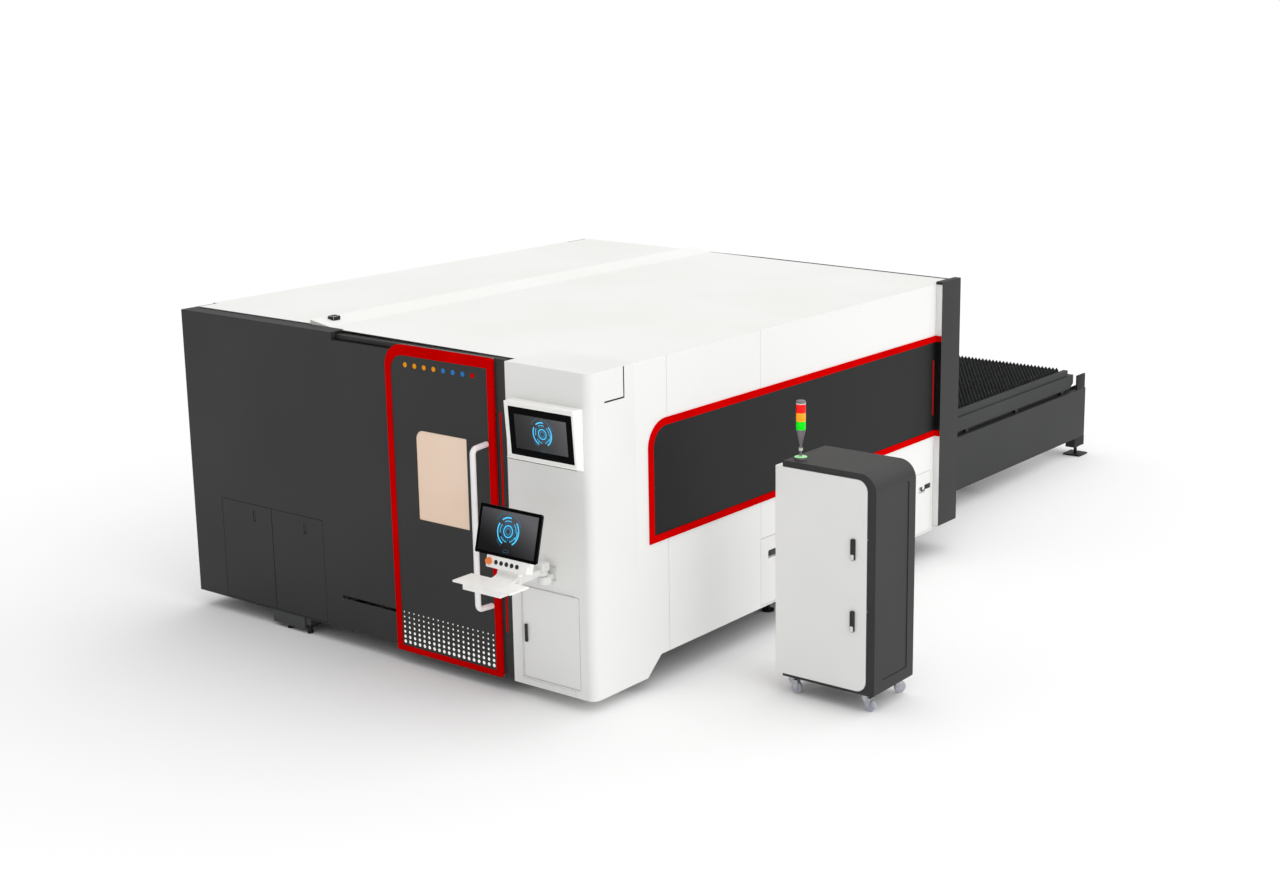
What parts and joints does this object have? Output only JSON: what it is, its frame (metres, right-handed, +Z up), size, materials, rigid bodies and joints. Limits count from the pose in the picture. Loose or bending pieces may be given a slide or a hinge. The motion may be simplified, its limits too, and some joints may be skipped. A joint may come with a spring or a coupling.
{
  "type": "fibre laser cutting machine",
  "caption": "Enclosed flatbed laser cutting machine with a sliding door, an exchange table with slatted pallets, a swinging operator console and a separate laser cabinet on casters.",
  "frame": {"origin": "centre of the underside of the right foot of the front foot beam, on the floor", "axes": "+X to the right along the front, +Y from the front towards the exchange table, +Z up"},
  "size_m": [4.984, 8.0165, 2.14],
  "materials": {
    "dark_paint": "satin",
    "white_paint": "satin",
    "red_paint": "gloss",
    "roof_paint": "satin",
    "band_paint": "satin",
    "door_lining": "satin",
    "laser_window": "gloss",
    "grip_tube": "satin",
    "shutter_sheet": "satin",
    "bed_paint": "satin",
    "foot_steel": "satin",
    "rail_steel": "ground",
    "beam_aluminium": "satin",
    "head_metal": "satin",
    "table_paint": "satin",
    "pallet_paint": "satin",
    "slat_steel": "hot rolled",
    "white_plastic": "satin",
    "screen_glass": "gloss",
    "orange_plastic": "satin",
    "button_black": "satin",
    "cabinet_dark": "satin",
    "lock_black": "satin",
    "lamp_grey": "satin",
    "lens_green": "gloss",
    "lens_amber": "gloss",
    "lens_red": "gloss",
    "caster_steel": "satin",
    "caster_wheel": "translucent"
  },
  "bodies": {
    "machine": {"front_left_cover": "dark_paint", "door_surround": "dark_paint", "left_shell": "dark_paint", "right_roof_panel": "roof_paint", "operator_column": "white_paint", "right_side_panel": "white_paint", "side_band_panel": "band_paint", "side_band_frame": "red_paint", "rear_portal": "dark_paint", "bed_frame": "bed_paint", "levelling_feet": "foot_steel", "gantry_rails": "rail_steel", "exchange_frame": "table_paint", "monitor_housing": "white_plastic", "monitor_screen": "screen_glass", "arm_bracket": "white_plastic", "cabinet_body": "cabinet_dark", "laser_source": "bed_paint", "stack_light_post": "lamp_grey", "stack_lens_green": "lens_green", "stack_lens_amber": "lens_amber", "stack_lens_red": "lens_red"},
    "front_door": {"sliding_door": "dark_paint", "door_liner": "door_lining", "door_red_frame": "red_paint", "door_window": "laser_window", "door_handle": "grip_tube"},
    "front_hatch_left": {"front_access_door_left": "dark_paint"},
    "front_hatch_right": {"front_access_door_right": "dark_paint"},
    "column_hatch": {"column_door": "white_paint"},
    "side_hatch_front": {"side_access_door_front": "white_paint"},
    "side_hatch_rear": {"side_access_door_rear": "white_paint"},
    "shutter": {"rear_shutter": "shutter_sheet"},
    "gantry": {"gantry_beam": "beam_aluminium"},
    "carriage": {"cross_carriage": "beam_aluminium"},
    "head": {"cutting_head": "head_metal"},
    "upper_pallet": {"outer_pallet": "pallet_paint", "outer_slats": "slat_steel"},
    "lower_pallet": {"inner_pallet": "pallet_paint"},
    "swing_link": {"arm_link": "white_plastic"},
    "console": {"console_stand": "white_plastic", "console_head": "white_plastic", "console_screen": "screen_glass"},
    "emergency_stop": {"stop_button": "orange_plastic"},
    "cabinet_door_body": {"cabinet_door": "white_paint"},
    "upper_lock": {"cabinet_lock_upper": "lock_black"},
    "lower_lock": {"cabinet_lock_lower": "lock_black"},
    "button_1": {"push_button_1": "button_black"},
    "button_2": {"push_button_2": "button_black"},
    "button_3": {"push_button_3": "button_black"},
    "button_4": {"push_button_4": "button_black"},
    "button_5": {"push_button_5": "button_black"},
    "swivel_1": {"caster_fork_1": "caster_steel"},
    "roller_1": {"caster_wheel_1": "caster_wheel"},
    "swivel_2": {"caster_fork_2": "caster_steel"},
    "roller_2": {"caster_wheel_2": "caster_wheel"},
    "swivel_3": {"caster_fork_3": "caster_steel"},
    "roller_3": {"caster_wheel_3": "caster_wheel"},
    "swivel_4": {"caster_fork_4": "caster_steel"},
    "roller_4": {"caster_wheel_4": "caster_wheel"}
  },
  "joints": [
    {"name": "door_slide", "type": "slide", "parent": "machine", "child": "front_door", "axis": [-1, 0, 0], "range_m": [0, 0.64]},
    {"name": "left_hatch_hinge", "type": "hinge", "parent": "machine", "child": "front_hatch_left", "pos_m": [-0.78, -0.0248, 0.48], "axis": [0, 0, -1], "range_deg": [0, 100]},
    {"name": "right_hatch_hinge", "type": "hinge", "parent": "machine", "child": "front_hatch_right", "pos_m": [-0.28, -0.0248, 0.48], "axis": [0, 0, -1], "range_deg": [0, 100]},
    {"name": "column_hatch_hinge", "type": "hinge", "parent": "machine", "child": "column_hatch", "pos_m": [2.406, -0.0248, 0.42], "axis": [0, 0, 1], "range_deg": [0, 100]},
    {"name": "front_side_hatch_hinge", "type": "hinge", "parent": "machine", "child": "side_hatch_front", "pos_m": [2.5148, 2.767, 0.44], "axis": [0, 0, 1], "range_deg": [0, 85]},
    {"name": "rear_side_hatch_hinge", "type": "hinge", "parent": "machine", "child": "side_hatch_rear", "pos_m": [2.5148, 2.781, 0.44], "axis": [0, 0, -1], "range_deg": [0, 85]},
    {"name": "shutter_lift", "type": "slide", "parent": "machine", "child": "shutter", "axis": [0, 0, -1], "range_m": [0, 0.65]},
    {"name": "gantry_travel", "type": "slide", "parent": "machine", "child": "gantry", "axis": [0, 1, 0], "range_m": [-0.1, 2.7]},
    {"name": "cross_travel", "type": "slide", "parent": "gantry", "child": "carriage", "axis": [1, 0, 0], "range_m": [-0.4, 1]},
    {"name": "head_lift", "type": "slide", "parent": "carriage", "child": "head", "axis": [0, 0, 1], "range_m": [-0.08, 0.06]},
    {"name": "upper_pallet_travel", "type": "slide", "parent": "machine", "child": "upper_pallet", "axis": [0, -1, 0], "range_m": [0, 3.24]},
    {"name": "lower_pallet_travel", "type": "slide", "parent": "machine", "child": "lower_pallet", "axis": [0, 1, 0], "range_m": [0, 3.24]},
    {"name": "bracket_pivot", "type": "hinge", "parent": "machine", "child": "swing_link", "pos_m": [2.182, -0.09, 0.858], "axis": [0, 0, 1], "range_deg": [-20, 30]},
    {"name": "link_pivot", "type": "hinge", "parent": "swing_link", "child": "console", "pos_m": [2.182, -0.295, 0.89], "axis": [0, 0, 1], "range_deg": [-45, 60]},
    {"name": "stop_press", "type": "slide", "parent": "console", "child": "emergency_stop", "axis": [0, 0.972, -0.2351], "range_m": [0, 0.004]},
    {"name": "button_1_press", "type": "slide", "parent": "console", "child": "button_1", "axis": [0, 0.972, -0.2351], "range_m": [0, 0.003], "stiffness_N_per_m": 250},
    {"name": "button_2_press", "type": "slide", "parent": "console", "child": "button_2", "axis": [0, 0.972, -0.2351], "range_m": [0, 0.003], "stiffness_N_per_m": 250},
    {"name": "button_3_press", "type": "slide", "parent": "console", "child": "button_3", "axis": [0, 0.972, -0.2351], "range_m": [0, 0.003], "stiffness_N_per_m": 250},
    {"name": "button_4_press", "type": "slide", "parent": "console", "child": "button_4", "axis": [0, 0.972, -0.2351], "range_m": [0, 0.003], "stiffness_N_per_m": 250},
    {"name": "button_5_press", "type": "slide", "parent": "console", "child": "button_5", "axis": [0, 0.972, -0.2351], "range_m": [0, 0.003], "stiffness_N_per_m": 250},
    {"name": "cabinet_door_hinge", "type": "hinge", "parent": "machine", "child": "cabinet_door_body", "pos_m": [3.171, 1.001, 0.78], "axis": [0, 0, -1], "range_deg": [0, 115]},
    {"name": "upper_lock_turn", "type": "hinge", "parent": "cabinet_door_body", "child": "upper_lock", "pos_m": [3.725, 0.92, 0.957], "axis": [0, -1, 0], "range_deg": [0, 90]},
    {"name": "lower_lock_turn", "type": "hinge", "parent": "cabinet_door_body", "child": "lower_lock", "pos_m": [3.725, 0.92, 0.512], "axis": [0, -1, 0], "range_deg": [0, 90]},
    {"name": "caster_1_swivel", "type": "hinge", "parent": "machine", "child": "swivel_1", "pos_m": [3.256, 0.974, 0.1], "axis": [0, 0, 1], "continuous": true},
    {"name": "caster_1_roll", "type": "hinge", "parent": "swivel_1", "child": "roller_1", "pos_m": [3.29, 0.974, 0.037], "axis": [0, 1, 0], "continuous": true},
    {"name": "caster_2_swivel", "type": "hinge", "parent": "machine", "child": "swivel_2", "pos_m": [3.786, 0.974, 0.1], "axis": [0, 0, 1], "continuous": true},
    {"name": "caster_2_roll", "type": "hinge", "parent": "swivel_2", "child": "roller_2", "pos_m": [3.82, 0.974, 0.037], "axis": [0, 1, 0], "continuous": true},
    {"name": "caster_3_swivel", "type": "hinge", "parent": "machine", "child": "swivel_3", "pos_m": [3.256, 1.312, 0.1], "axis": [0, 0, 1], "continuous": true},
    {"name": "caster_3_roll", "type": "hinge", "parent": "swivel_3", "child": "roller_3", "pos_m": [3.29, 1.312, 0.037], "axis": [0, 1, 0], "continuous": true},
    {"name": "caster_4_swivel", "type": "hinge", "parent": "machine", "child": "swivel_4", "pos_m": [3.786, 1.312, 0.1], "axis": [0, 0, 1], "continuous": true},
    {"name": "caster_4_roll", "type": "hinge", "parent": "swivel_4", "child": "roller_4", "pos_m": [3.80351, 1.34114, 0.037], "axis": [-0.8572, 0.515, 0], "continuous": true}
  ],
  "couplings": [
    {"joint": "lower_pallet_travel", "follows": "upper_pallet_travel", "ratio": 1}
  ]
}
